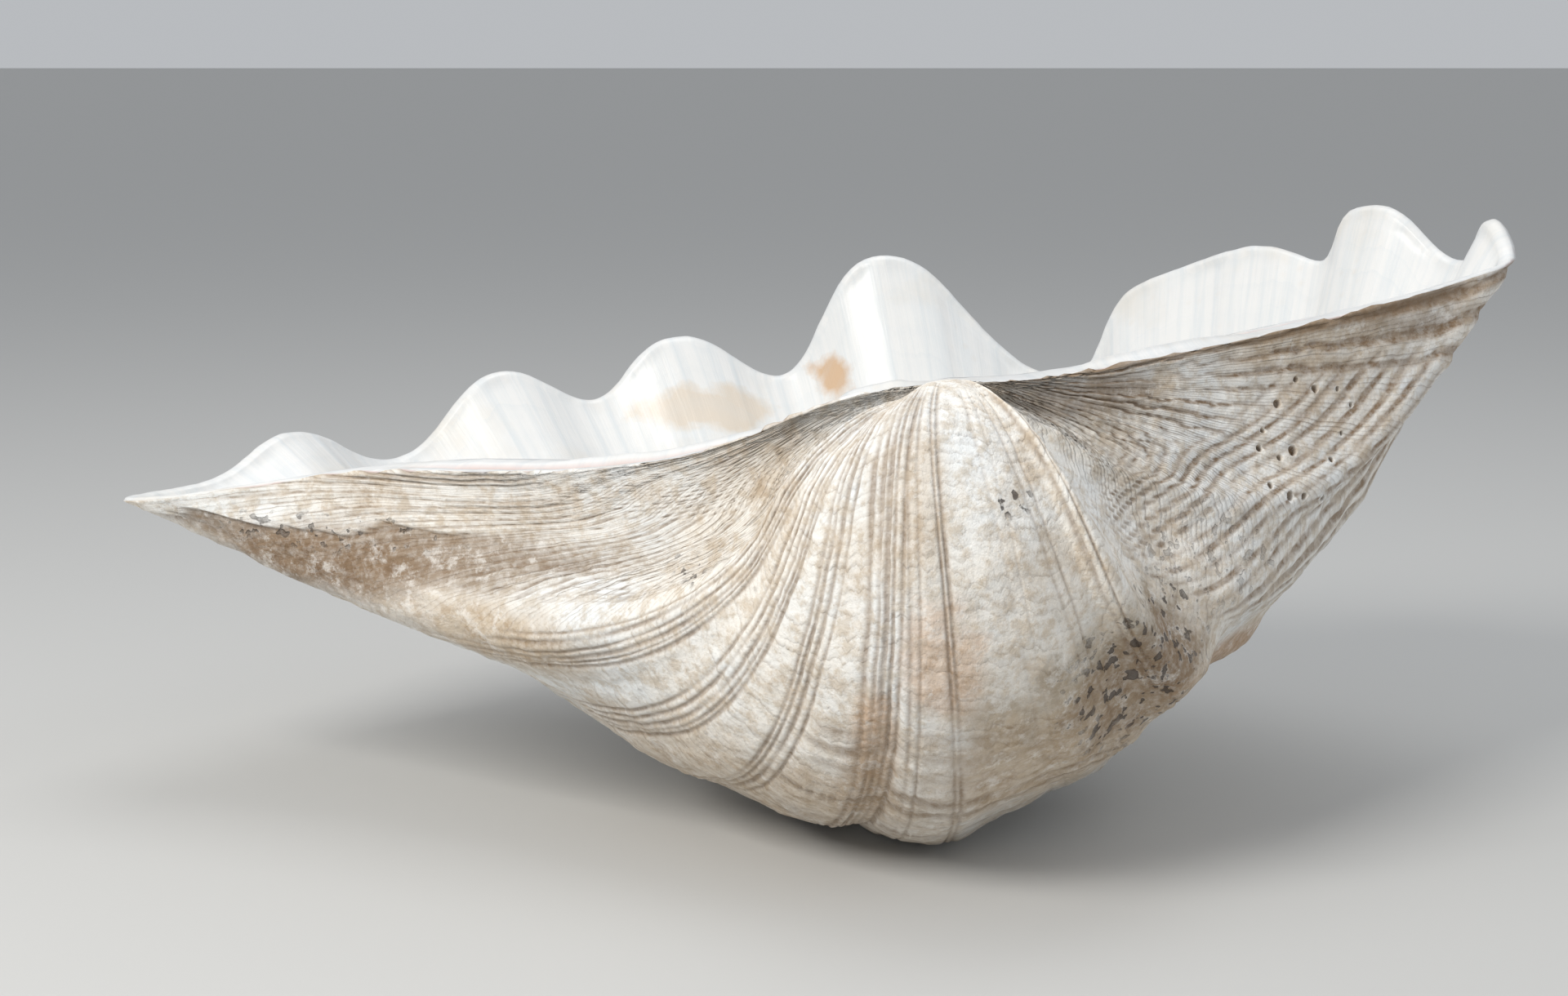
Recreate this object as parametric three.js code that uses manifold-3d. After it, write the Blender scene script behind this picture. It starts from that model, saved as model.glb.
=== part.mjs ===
// One valve of a giant clam shell, lying hollow side up on its rounded back.
// Millimetres, +Z up, the hinge towards -Y and the scalloped edge towards +Y.
// The valve is grown the way the animal grows it: every older edge is the present edge,
// made smaller about the beak and turned about the hinge line, so the back curls over.
import * as THREE from 'three';
import Module from 'manifold-3d';

// how the valve lies
const rollDeg = 10; // right end is higher than the left
const wornFlat = 1.6; // how much of the back is worn off flat where it rests

// edge of the valve seen from above, beak at 0 0 0, right end first, then round the front
const edgeLine = [
  [0, 0, 0], [22, 4, -2], [62, 25, -4.5], [124, 64, -6.5], [162, 90, -6], [184, 106, -5],
  [181, 141, -7], [150, 193, -13], [104, 240, -26], [48, 271, -38], [-20, 273, -33],
  [-66, 267, -24], [-122, 251, -23], [-192, 214, -20], [-240, 152, -9], [-264, 117, -4],
  [-249, 101, -4], [-182, 79, -4], [-109, 40, -10], [-56, 15, -8], [-22, 4, -3], [0, 0, 0],
];
const rightEndKnot = 5;
const leftEndKnot = 15;

// teeth of the front edge: x, y, height, half width right, half width left, squareness of each side
const teeth = [
  [180, 122, 13, 12, 14, 2.2, 2.2],
  [157, 181, 24, 25, 19, 2.8, 3.2],
  [110, 237, 25, 48, 51, 3.0, 8.0],
  [-7, 273, 53, 34, 33, 2.4, 2.6],
  [-90, 262, 26, 28, 26, 2.4, 2.4],
  [-154, 238, 26, 28, 27, 2.2, 2.2],
  [-226, 184, 15, 28, 28, 2.2, 2.2],
];
const toothLean = 0.1; // teeth lean inwards by this share of their height
const leanShare = 0.55; // they lean towards the point at this share of their own x
const leanMiddle = 110; // and at this y
const foldFade = 2.4; // folds die away towards the beak with this power

// growth, against the bearing from the beak in degrees (0 right end, 180 left end)
const curlRate = [[0, 2.5], [30, 2.5], [44, 2.38], [52, 2.28], [60, 2.05], [68, 1.8], [85, 1.98],
  [95, 2.08], [108, 2.16], [122, 2.0], [133, 1.95], [147, 1.95], [156, 2.0], [180, 2.0]];
const curlLimit = [[0, 78], [28, 78], [36, 80], [44, 98], [52, 130], [60, 188], [66, 200], [110, 195],
  [125, 180], [140, 155], [150, 142], [160, 138], [180, 136]];
const narrowing = [[0, 1.42], [30, 1.42], [44, 1.38], [52, 1.32], [60, 1.25], [75, 1.18],
  [120, 1.15], [140, 1.2], [150, 1.28], [157, 1.36], [180, 1.4]];
const hingeUncurl = 0.3; // the hinge edge curls this much less than the ends
const beakTip = 10; // columns this near the beak all end in its tip
const youngSize = 0.32; // below this size every edge has the same outline
const youngNarrowing = 1.2;
const beakBreadth = 1.6; // extra breadth of the oldest part
const beakFade = 6; // which dies away from the beak with this power

// hollow side
const lipWidth = 5; // thickness of the front edge
const hingeWidth = 17; // breadth of the hinge plate
const lipDrop = 1.5; // inner edge of the lip is this much lower than the outer edge
const hingeRise = 0.14; // but the hinge plate slopes up inwards, by this share of its extra breadth
const hollowCurlRate = 0.92; // hollow side curls a little slower than the back
const hollowCurlShare = 0.8;
const hollowCurlLimit = 102;
const hollowBeakLimit = 70;
const hollowPole = [-6, 16, -45]; // deepest corner under the hinge plate
const beakCurlRate = 2.2; // curl and narrowing of the hollow side beside the beak
const beakNarrowing = 1.3;

// stretches of the hinge edge, as shares of the way from the beak to the end of the wing
const uncurled = [0.2, 1.0]; // where it goes over to the full curl
const plateEnds = [0.55, 1.0]; // where the hinge plate narrows to the lip
const besideBeak = [0, 0.7]; // where the two halves of the hinge curl alike

// gentle pushes that shape the whole valve: middle from the beak, reach and move
const pushes = [
  [[-35.6, -16.5, -13.4], [36, 42, 30], [-3, -3, 7.5]], // left shoulder of the beak, fuller
  [[83.4, 27.5, -59.4], [32, 30, 17], [2, -8, -2]], // under the right wing, filled out
  [[79.4, 19.5, -31.4], [34, 22, 11], [0, 3.5, 1.5]], // face of the right wing, flatter
  [[67.4, 7.5, -85.4], [20, 24, 15], [4, -3, -1]], // foot of the right wing, filled out
  [[46, 31, -120], [26, 45, 22], [0.7, -2.1, 7.6]], // belly under the right wing, drawn up
  [[82, 38, -93], [18, 45, 18], [-6, 1.8, 7.5]], // underside of the right wing, drawn in
  [[54, 16, -98], [13, 30, 14], [0, -0.4, -7.5]], // the hollow between them, filled out
];

// fineness
const columns = 132;
const columnCrowding = 0.035; // columns stand closer along the toothed front than along the hinge
const backRows = 25;
const backCrowding = 1.35; // rows stand closer near the beak
const hollowRows = 12;
const hollowCrowding = 1.15;
const edgeSteps = 100; // steps from knot to knot where a place on the edge is looked up
const arcSteps = 2000; // steps the length of the edge is measured in
const weldPerMm = 50; // corners that fall in the same fiftieth of a millimetre are one

const rad = Math.PI / 180;

function smoothStep(a, b, x) {
  const t = Math.min(1, Math.max(0, (x - a) / (b - a)));
  return t * t * (3 - 2 * t);
}

// smooth curve through a short list of knots, never overshooting them
function eased(knots, x) {
  const n = knots.length;
  const slope = [];
  for (let i = 0; i < n - 1; i++) {
    slope.push((knots[i + 1][1] - knots[i][1]) / (knots[i + 1][0] - knots[i][0]));
  }
  const tangent = knots.map((knot, i) => {
    if (i === 0 || i === n - 1) return 0;
    const a = slope[i - 1];
    const b = slope[i];
    return a * b <= 0 ? 0 : (2 * a * b) / (a + b);
  });
  if (x <= knots[0][0]) return knots[0][1];
  if (x >= knots[n - 1][0]) return knots[n - 1][1];
  let i = 0;
  while (x > knots[i + 1][0]) i += 1;
  const h = knots[i + 1][0] - knots[i][0];
  const t = (x - knots[i][0]) / h;
  const t2 = t * t;
  const t3 = t2 * t;
  return (2 * t3 - 3 * t2 + 1) * knots[i][1] + (t3 - 2 * t2 + t) * h * tangent[i]
    + (3 * t2 - 2 * t3) * knots[i + 1][1] + (t3 - t2) * h * tangent[i + 1];
}

// the present edge, evenly stepped, with its teeth and its growth values
function makeEdge() {
  const knots = edgeLine.map((p) => new THREE.Vector3(...p));
  const line = new THREE.CatmullRomCurve3(knots, false, 'centripetal');
  line.arcLengthDivisions = arcSteps;
  const total = line.getLength();
  const steps = edgeSteps * (edgeLine.length - 1);
  const lengths = line.getLengths(steps);
  const rightEnd = lengths[rightEndKnot * edgeSteps];
  const leftEnd = lengths[leftEndKnot * edgeSteps];
  const toothAt = teeth.map(([tx, ty]) => {
    let best = 0;
    let bestGap = Infinity;
    for (let i = 0; i <= steps; i++) {
      const p = line.getPoint(i / steps);
      const gap = (p.x - tx) ** 2 + (p.y - ty) ** 2;
      if (gap < bestGap) {
        bestGap = gap;
        best = lengths[i];
      }
    }
    return best;
  });
  const edge = [];
  for (let i = 0; i <= columns; i++) {
    const even = i / columns;
    const run = total * (even - columnCrowding * Math.sin(2 * Math.PI * even));
    const p = line.getPointAt(run / total);
    let height = 0;
    teeth.forEach(([, , h, right, left, squareRight, squareLeft], k) => {
      const d = run - toothAt[k];
      const part = d < 0 ? Math.pow(-d / right, squareRight) : Math.pow(d / left, squareLeft);
      height += h * Math.exp(-part);
    });
    const inward = new THREE.Vector2(leanShare * p.x - p.x, leanMiddle - p.y).normalize();
    const bearing = Math.atan2(Math.max(p.y, 0), p.x) / rad;
    const alongHinge = run < total / 2 ? run / rightEnd : (total - run) / (total - leftEnd);
    edge.push({
      x: p.x,
      y: p.y,
      z: p.z,
      height,
      inward,
      rate: eased(curlRate, bearing),
      limit: eased(curlLimit, bearing) * rad * (1 - hingeUncurl * (1 - smoothStep(...uncurled, alongHinge))),
      narrow: eased(narrowing, bearing),
      lip: lipWidth + (hingeWidth - lipWidth) * (1 - smoothStep(...plateEnds, alongHinge)),
      nearBeak: 1 - smoothStep(...besideBeak, alongHinge),
    });
  }
  return edge;
}

// how far an older edge has drawn in towards the beak along the hinge
function drawnIn(r, narrow) {
  if (r >= youngSize) return Math.pow(r, narrow);
  return Math.pow(youngSize, narrow) * Math.pow(r / youngSize, youngNarrowing);
}

// a point of the back at size r (1 is the present edge, 0 the beak)
function backPoint(e, r) {
  if (r < 1e-6 || Math.hypot(e.x, e.y) < beakTip) return [0, 0, 0];
  const fade = Math.pow(r, foldFade);
  const x = e.x + fade * e.inward.x * toothLean * e.height;
  const y = e.y + fade * e.inward.y * toothLean * e.height;
  const z = fade * (e.z + e.height);
  const turn = e.limit * Math.tanh((e.rate * Math.log(1 / r)) / e.limit);
  const breadth = drawnIn(r, e.narrow) * (1 + beakBreadth * Math.pow(1 - r, beakFade));
  const forward = y * Math.cos(turn) + z * Math.sin(turn);
  const up = z * Math.cos(turn) - y * Math.sin(turn);
  return [breadth * x, r * forward, r * up];
}

// a point of the hollow side, the same way, ending at its own corner under the hinge
function hollowPoint(e, r) {
  const pull = (1 - r) * (1 - r);
  if (r < 1e-6) return hollowPole.slice();
  const fade = Math.pow(r, foldFade);
  const inset = e.lip + fade * toothLean * e.height;
  const x = e.x + e.inward.x * inset;
  const y = e.y + e.inward.y * inset;
  const z = fade * (e.z + e.height) - lipDrop + hingeRise * (e.lip - lipWidth);
  // the two halves of the hinge meet at the beak with the same curl
  const freeLimit = Math.min(hollowCurlShare * e.limit, hollowCurlLimit * rad);
  const limit = freeLimit + (hollowBeakLimit * rad - freeLimit) * e.nearBeak;
  const rate = hollowCurlRate * (e.rate + (beakCurlRate - e.rate) * e.nearBeak);
  const turn = limit * Math.tanh((rate * Math.log(1 / r)) / limit);
  const breadth = drawnIn(r, e.narrow + (beakNarrowing - e.narrow) * e.nearBeak);
  return [
    breadth * x + pull * hollowPole[0],
    r * (y * Math.cos(turn) + z * Math.sin(turn)) + pull * hollowPole[1],
    r * (z * Math.cos(turn) - y * Math.sin(turn)) + pull * hollowPole[2],
  ];
}

// turned to the way it lies, and pushed into its final shape
function lay([x, y, z]) {
  const c = Math.cos(rollDeg * rad);
  const s = Math.sin(rollDeg * rad);
  let p = [x * c - z * s, y, x * s + z * c];
  for (const [middle, reach, move] of pushes) {
    const far = p.reduce((sum, v, k) => sum + ((v - middle[k]) / reach[k]) ** 2, 0);
    p = p.map((v, k) => v + Math.exp(-far) * move[k]);
  }
  return p;
}

// one closed skin: back, lip and hollow side
function makeSkin() {
  const edge = makeEdge();
  const points = [];
  const faces = [];
  const index = new Map();
  const add = (p) => {
    const q = lay(p);
    const key = q.map((v) => Math.round(v * weldPerMm)).join(' ');
    if (!index.has(key)) {
      index.set(key, points.length);
      points.push(q);
    }
    return index.get(key);
  };
  const face = (a, b, c) => {
    if (a !== b && b !== c && a !== c) faces.push([a, b, c]);
  };
  const quad = (a, b, c, d) => {
    face(a, b, c);
    face(a, c, d);
  };
  const sheet = (rows, place, outwards) => {
    const grid = edge.map((e) => rows.map((r) => add(place(e, r))));
    for (let i = 0; i < columns; i++) {
      for (let j = 0; j + 1 < rows.length; j++) {
        const [a, b, c, d] = [grid[i][j], grid[i + 1][j], grid[i + 1][j + 1], grid[i][j + 1]];
        if (outwards) quad(d, c, b, a);
        else quad(a, b, c, d);
      }
    }
    return grid.map((column) => column[0]);
  };
  const backSizes = Array.from({ length: backRows + 1 }, (_, j) => (1 - j / backRows) ** backCrowding);
  const hollowSizes = Array.from({ length: hollowRows + 1 }, (_, j) => (1 - j / hollowRows) ** hollowCrowding);
  const outer = sheet(backSizes, backPoint, true);
  const inner = sheet(hollowSizes, hollowPoint, false);
  for (let i = 0; i < columns; i++) quad(outer[i], outer[i + 1], inner[i + 1], inner[i]);
  return { points, faces };
}

const library = await Module();
library.setup();
const { Manifold, Mesh } = library;

const skin = makeSkin();
const solid = new Manifold(new Mesh({
  numProp: 3,
  vertProperties: new Float32Array(skin.points.flat()),
  triVerts: new Uint32Array(skin.faces.flat()),
}));

// the worn patch: the lowest part of the back is taken off, and the valve is set on the table
// with the middle of its outline over the origin
const lowest = solid.boundingBox().min[2];
const worn = solid.trimByPlane([0, 0, 1], lowest + wornFlat);
const box = worn.boundingBox();
const resting = worn.translate([
  -(box.min[0] + box.max[0]) / 2,
  -(box.min[1] + box.max[1]) / 2,
  -box.min[2],
]);

const cut = resting.getMesh();
const shellGeometry = new THREE.BufferGeometry();
const corners = [];
for (let i = 0; i < cut.triVerts.length; i++) {
  const v = cut.triVerts[i] * cut.numProp;
  corners.push(cut.vertProperties[v], cut.vertProperties[v + 1], cut.vertProperties[v + 2]);
}
shellGeometry.setAttribute('position', new THREE.Float32BufferAttribute(corners, 3));
shellGeometry.computeVertexNormals();

const shellMaterial = new THREE.MeshStandardMaterial({ color: 0xe2d8c8, roughness: 0.72, metalness: 0 });
const shell = new THREE.Mesh(shellGeometry, shellMaterial);
shell.name = 'shell_valve';

const clam = new THREE.Group();
clam.add(shell);

export default clam;
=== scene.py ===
import math

import bmesh
import bpy
import numpy as np
from mathutils import Matrix, Vector


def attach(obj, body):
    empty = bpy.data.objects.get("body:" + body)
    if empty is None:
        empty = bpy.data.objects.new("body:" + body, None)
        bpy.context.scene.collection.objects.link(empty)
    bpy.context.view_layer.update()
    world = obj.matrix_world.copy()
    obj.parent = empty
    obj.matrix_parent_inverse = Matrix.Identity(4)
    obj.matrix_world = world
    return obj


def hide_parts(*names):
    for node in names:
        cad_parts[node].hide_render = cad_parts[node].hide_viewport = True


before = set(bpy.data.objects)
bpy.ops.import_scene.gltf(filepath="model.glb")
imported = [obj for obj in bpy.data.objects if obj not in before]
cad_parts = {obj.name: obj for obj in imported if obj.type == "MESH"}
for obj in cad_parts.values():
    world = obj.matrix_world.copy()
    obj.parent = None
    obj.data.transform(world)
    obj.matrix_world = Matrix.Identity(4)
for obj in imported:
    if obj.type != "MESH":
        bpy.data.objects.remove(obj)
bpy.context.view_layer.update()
print("frame loaded")

# How the valve grew, in millimetres. Every older edge is a smaller copy of the present one,
# turned under about the hinge line.
shellShape = {
    "edgeLine": [(0, 0, 0), (22, 4, -2), (62, 25, -4.5), (124, 64, -6.5), (162, 90, -6), (184, 106, -5),
                 (181, 141, -7), (150, 193, -13), (104, 240, -26), (48, 271, -38), (-20, 273, -33),
                 (-66, 267, -24), (-122, 251, -23), (-192, 214, -20), (-240, 152, -9), (-264, 117, -4),
                 (-249, 101, -4), (-182, 79, -4), (-109, 40, -10), (-56, 15, -8), (-22, 4, -3), (0, 0, 0)],
    "rightEndKnot": 5,
    "leftEndKnot": 15,
    # x, y, height, half width right and left, squareness right and left
    "teeth": [(180, 122, 13, 12, 14, 2.2, 2.2), (157, 181, 24, 25, 19, 2.8, 3.2),
              (110, 237, 25, 48, 51, 3.0, 8.0), (-7, 273, 53, 34, 33, 2.4, 2.6),
              (-90, 262, 26, 28, 26, 2.4, 2.4), (-154, 238, 26, 28, 27, 2.2, 2.2),
              (-226, 184, 15, 28, 28, 2.2, 2.2)],
    "toothLean": 0.1,
    "leanShare": 0.45,
    "leanMiddle": 110,
    "foldFade": 2.4,
    # the next three go by the bearing of a point of the edge, seen from the beak
    "curlRate": [(0, 2.5), (30, 2.5), (44, 2.38), (52, 2.28), (60, 2.05), (68, 1.8), (85, 1.98),
                 (95, 2.08), (108, 2.16), (122, 2.0), (133, 1.95), (147, 1.95), (156, 2.0), (180, 2.0)],
    "curlLimit": [(0, 78), (28, 78), (36, 80), (44, 98), (52, 130), (60, 188), (66, 200), (110, 195),
                  (125, 180), (140, 155), (150, 142), (160, 138), (180, 136)],
    "narrowing": [(0, 1.42), (30, 1.42), (44, 1.38), (52, 1.32), (60, 1.25), (75, 1.18), (120, 1.15),
                  (140, 1.2), (150, 1.28), (157, 1.36), (180, 1.4)],
    "hingeUncurl": 0.3,
    "beakTip": 10,
    "youngSize": 0.32,
    "youngNarrowing": 1.2,
    "beakBreadth": 1.6,
    "beakFade": 6,
    # stretches of the hinge edge, as shares of the way from the beak to the end of the wing
    "uncurled": (0.2, 1.0),
    "plateEnds": (0.55, 1.0),
    "besideBeak": (0, 0.7),
    "lipWidth": 5,
    "lipDrop": 1.5,
    "hingeWidth": 17,
    "hingeRise": 0.14,
    "lipRound": 1.5,
    "plateRound": 0.2,
    "hollowCurlRate": 0.92,
    "hollowCurlShare": 0.8,
    "hollowCurlLimit": 102,
    "hollowBeakLimit": 70,
    "hollowPole": (-6, 16, -45),
    "beakCurlRate": 2.2,
    "beakNarrowing": 1.3,
    "rollDeg": 10,
    "beakAt": (38.62, -111.39, 143.36),
    # middle from the beak, reach and move of each push that shapes the whole valve
    "pushes": [((-35.6, -16.5, -13.4), (36, 42, 30), (-3, -3, 7.5)),  # left shoulder of the beak, fuller
               ((83.4, 27.5, -59.4), (32, 30, 17), (2, -8, -2)),  # under the right wing, filled out
               ((79.4, 19.5, -31.4), (34, 22, 11), (0, 3.5, 1.5)),  # face of the right wing, flatter
               ((67.4, 7.5, -85.4), (20, 24, 15), (4, -3, -1)),  # foot of the right wing, filled out
               ((46, 31, -120), (26, 45, 22), (0.7, -2.1, 7.6)),  # belly under the wing, drawn up
               ((82, 38, -93), (18, 45, 18), (-6, 1.8, 7.5)),  # underside of the wing, drawn in
               ((54, 16, -98), (13, 30, 14), (0, -0.4, -7.5))],  # the hollow between them, filled out
    "columns": 600,
    "backRows": 124,
    "lipRows": 9,
    "hollowRows": 54,
    "backCrowding": 1.25,
    "hollowCrowding": 1.2,
    "ribletCrowding": 1.5,
    "knotSteps": 100,
    "edgeSteps": 2000,
    "weld": 0.02,
}
noSize = 1e-5  # stands for size 0, whose logarithm can't be taken

# What the animal left on the inside, in millimetres and in shares of the present size.
hollowMarks = {
    "fluted": [(215, 260), (800, 850)],
    "mantle": [(240, 290), (790, 840)],
    "mantleSize": 0.80,
    "mantleWide": 0.016,
    "mantleDepth": 0.7,
    "scarRun": 640,
    "scarSize": 0.52,
    "scarLong": 95,
    "scarWide": 0.13,
    "scarDepth": 0.8,
    # start and end of the run, place and width across the lip, height
    "hingeMarks": [(915, 1062, 0.42, 0.11, -3.2), (965, 1075, 0.72, 0.12, 1.6), (30, 108, 0.42, 0.12, 2.2),
                   (45, 150, 0.70, 0.10, -1.8), (1078, 1108, 0.5, 0.2, 2.4)],
    "hingeTaper": 0.3,
}

# What age did to the surface, in millimetres; a run is a length along the present edge.
shellWear = {
    # run of the middle, number of riblets, gap between them, depth
    "ribletGroups": [(362, 2, 6.5, 1.0), (412, 2, 6.5, 0.4), (470, 2, 8, 0.3), (541, 2, 6, 0.8),
                     (576, 2, 6, 0.5), (606, 5, 6, 1.0), (676, 4, 6.5, 0.95), (742, 5, 6.5, 1.0),
                     (812, 6, 7, 0.95), (868, 4, 8, 0.5)],
    "ribletWidth": 1.8,
    "ribletDepth": 1.0,
    "ribletsWorn": 700,  # riblets beyond this run are worn down before they reach the edge
    "rightGrowthGap": 0.045,
    "growthGap": 0.021,
    "growthRise": 1.7,
    # how far the growth lines dip where the left wing is drawn out
    "bendRun": 955,
    "bendWide": 45,
    "bendDeep": 0.09,
    # runs between which each part of the back eases in and out
    "rightWing": (215, 260),
    "leftWing": (830, 880),
    "belly": [(370, 400), (640, 700)],
    "swept": [(112, 160), (262, 300)],
    "flaked": [(818, 835), (895, 935)],
    "sweepGap": 10.0,
    "sweepRise": 1.3,
    "footSink": 0.3,
    # how far the lines of the right wing lean towards its tip, by size
    "sweepLean": [(0.2, 250), (0.24, 205), (0.28, 144), (0.43, 70), (0.65, 10), (0.8, 0), (1, 0)],
    # size at which the outer layer of the left wing is broken away, by run
    "breakLine": [(800, 1.02), (831, 0.98), (850, 0.95), (865, 0.89), (886, 0.895), (900, 0.84),
                  (930, 0.80)],
    "breakDepth": 1.5,
    "softFloor": 0.6,
    # run, size and radius of each hole a boring sponge left in the right wing
    "boreHoles": [(153, 0.86, 1.7), (144, 0.82, 1.7), (175, 0.73, 2.1), (211, 0.62, 1.9), (197, 0.62, 1.4),
                  (216, 0.64, 1.5), (219, 0.66, 1.3), (197, 0.73, 1.3), (161, 0.71, 1.4), (175, 0.70, 1.3),
                  (164, 0.86, 1.1), (180, 0.83, 1.1), (139, 0.88, 1.2), (186, 0.78, 1.0), (150, 0.76, 1.1)],
    "boreDepth": 2.2,
    # run, width and rise of the low folds of the belly
    "bellyFolds": [(597, 13, -2.8), (642, 22, 2.2), (545, 24, 0.8), (470, 18, -1.2)],
    # gap, rise and seed of each size of lump, and how much of them the lip and the hollow show
    "bumps": [(24, 0.8, 3), (9, 0.5, 5), (4.5, 0.32, 8), (2.6, 0.16, 9)],
    "lipBumps": 0.4,
    "hollowBumps": 0.2,
}


def smoothStep(low, high, x):
    t = np.clip((x - low) / (high - low), 0, 1)
    return t * t * (3 - 2 * t)


def within(easeIn, easeOut, x):  # 1 from the end of the first stretch to the start of the second
    return smoothStep(*easeIn, x) * (1 - smoothStep(*easeOut, x))


def eased(knots, x):  # a smooth curve through the knots that never overshoots them
    at = np.array([k[0] for k in knots], float)
    value = np.array([k[1] for k in knots], float)
    slope = np.diff(value) / np.diff(at)
    tangent = np.zeros(len(at))
    steady = slope[:-1] * slope[1:] > 0
    tangent[1:-1][steady] = 2 * slope[:-1][steady] * slope[1:][steady] / (slope[:-1] + slope[1:])[steady]
    x = np.clip(x, at[0], at[-1])
    i = np.clip(np.searchsorted(at, x, side="right") - 1, 0, len(at) - 2)
    gap = at[i + 1] - at[i]
    t = (x - at[i]) / gap
    return ((2 * t**3 - 3 * t**2 + 1) * value[i] + (t**3 - 2 * t**2 + t) * gap * tangent[i]
            + (3 * t**2 - 2 * t**3) * value[i + 1] + (t**3 - t**2) * gap * tangent[i + 1])


def smoothLine(knots, steps):  # a centripetal curve through the knots
    p = np.array(knots, float)
    p = np.vstack([2 * p[0] - p[1], p, 2 * p[-1] - p[-2]])
    t = np.linspace(0, 1, steps, endpoint=False)[:, None]
    pieces = []
    for a, b, c, d in zip(p[:-3], p[1:-2], p[2:-1], p[3:]):
        ab, bc, cd = [np.linalg.norm(v)**0.5 for v in (b - a, c - b, d - c)]
        start = ((b - a) / ab - (c - a) / (ab + bc) + (c - b) / bc) * bc
        end = ((c - b) / bc - (d - b) / (bc + cd) + (d - c) / cd) * bc
        pieces.append((2 * t**3 - 3 * t**2 + 1) * b + (t**3 - 2 * t**2 + t) * start
                      + (3 * t**2 - 2 * t**3) * c + (t**3 - t**2) * end)
    pieces.append(p[-2][None, :])
    return np.vstack(pieces)


def noise(points, gap, seed):  # soft lumps between -1 and 1, the same every time
    q = points / gap
    cell = np.floor(q).astype(np.int64)
    f = q - cell
    f = f * f * f * (f * (6 * f - 15) + 10)
    total = np.zeros(q.shape[:-1])
    for corner in np.ndindex(2, 2, 2):
        c = cell + np.array(corner)
        h = (c[..., 0] * 73856093) ^ (c[..., 1] * 19349663) ^ (c[..., 2] * 83492791) ^ (seed * 2654435761)
        h = ((h ^ (h >> 13)) * 1274126177) & 0xffffffff
        h = ((h ^ (h >> 16)) * 668265263) & 0xffffffff
        weight = np.prod(np.where(np.array(corner) == 1, f, 1 - f), axis=-1)
        total += weight * ((h & 0xffff) / 32767.5 - 1)
    return total


def linePlace(*parts):  # places for noise that changes with up to three values
    parts = list(parts) + [0.5] * (3 - len(parts))
    return np.stack(np.broadcast_arrays(*parts), -1).astype(float)


def makeEdge():
    s = shellShape
    line = smoothLine(s["edgeLine"], s["knotSteps"])
    lengths = np.concatenate([[0], np.cumsum(np.linalg.norm(np.diff(line, axis=0), axis=1))])
    total = lengths[-1]
    rightEnd = lengths[s["rightEndKnot"] * s["knotSteps"]]
    leftEnd = lengths[s["leftEndKnot"] * s["knotSteps"]]
    # columns stand closer where there are riblets
    even = np.linspace(0, total, s["edgeSteps"] + 1)
    crowd = np.ones(len(even))
    for middle, count, gap, unused in shellWear["ribletGroups"]:
        crowd += s["ribletCrowding"] * np.exp(-((even - middle) / (0.6 * count * gap + 6))**4)
    crowd = np.concatenate([[0], np.cumsum((crowd[1:] + crowd[:-1]) / 2)])
    run = np.interp(np.linspace(0, crowd[-1], s["columns"] + 1), crowd, even)
    x, y, z = [np.interp(run, lengths, line[:, k]) for k in range(3)]
    height = np.zeros(len(run))
    for toothX, toothY, high, right, left, squareRight, squareLeft in s["teeth"]:
        d = run - lengths[np.argmin((line[:, 0] - toothX)**2 + (line[:, 1] - toothY)**2)]
        part = np.where(d < 0, np.abs(d / right)**squareRight, np.abs(d / left)**squareLeft)
        height += high * np.exp(-part)
    inX, inY = -s["leanShare"] * x, s["leanMiddle"] - y
    size = np.hypot(inX, inY)
    bearing = np.degrees(np.arctan2(np.maximum(y, 0), x))
    alongHinge = np.where(run < total / 2, run / rightEnd, (total - run) / (total - leftEnd))
    limit = np.radians(eased(s["curlLimit"], bearing))
    limit = limit * (1 - s["hingeUncurl"] * (1 - smoothStep(*s["uncurled"], alongHinge)))
    atHinge = 1 - smoothStep(*s["plateEnds"], alongHinge)
    edge = {
        "run": run, "x": x, "y": y, "z": z, "height": height, "inX": inX / size, "inY": inY / size,
        "rate": eased(s["curlRate"], bearing), "limit": limit, "narrow": eased(s["narrowing"], bearing),
        "lip": s["lipWidth"] + (s["hingeWidth"] - s["lipWidth"]) * atHinge, "atHinge": atHinge,
        "nearBeak": 1 - smoothStep(*s["besideBeak"], alongHinge),
    }
    return {name: value[:, None] for name, value in edge.items()}


def drawnIn(r, narrow):  # how far an edge of size r has drawn in towards the beak along the hinge
    young = shellShape["youngSize"]
    return np.where(r >= young, r**narrow, young**narrow * (r / young)**shellShape["youngNarrowing"])


def turnedUnder(x, y, z, turn, r, breadth):  # scaled by r and turned about the hinge line
    return np.stack([breadth * x, r * (y * np.cos(turn) + z * np.sin(turn)),
                     r * (z * np.cos(turn) - y * np.sin(turn))], -1)


def backPoints(e, sizes):  # the outside, a row for each size
    s = shellShape
    r = np.maximum(sizes, noSize)[None, :]
    fade = r**s["foldFade"]
    x = e["x"] + fade * e["inX"] * s["toothLean"] * e["height"]
    y = e["y"] + fade * e["inY"] * s["toothLean"] * e["height"]
    z = fade * (e["z"] + e["height"])
    turn = e["limit"] * np.tanh(e["rate"] * np.log(1 / r) / e["limit"])
    breadth = drawnIn(r, e["narrow"]) * (1 + s["beakBreadth"] * (1 - r)**s["beakFade"])
    p = turnedUnder(x, y, z, turn, r, breadth)
    p[np.hypot(e["x"], e["y"])[:, 0] < s["beakTip"]] = 0
    p[:, r[0] < 2 * noSize] = 0
    return p


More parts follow.
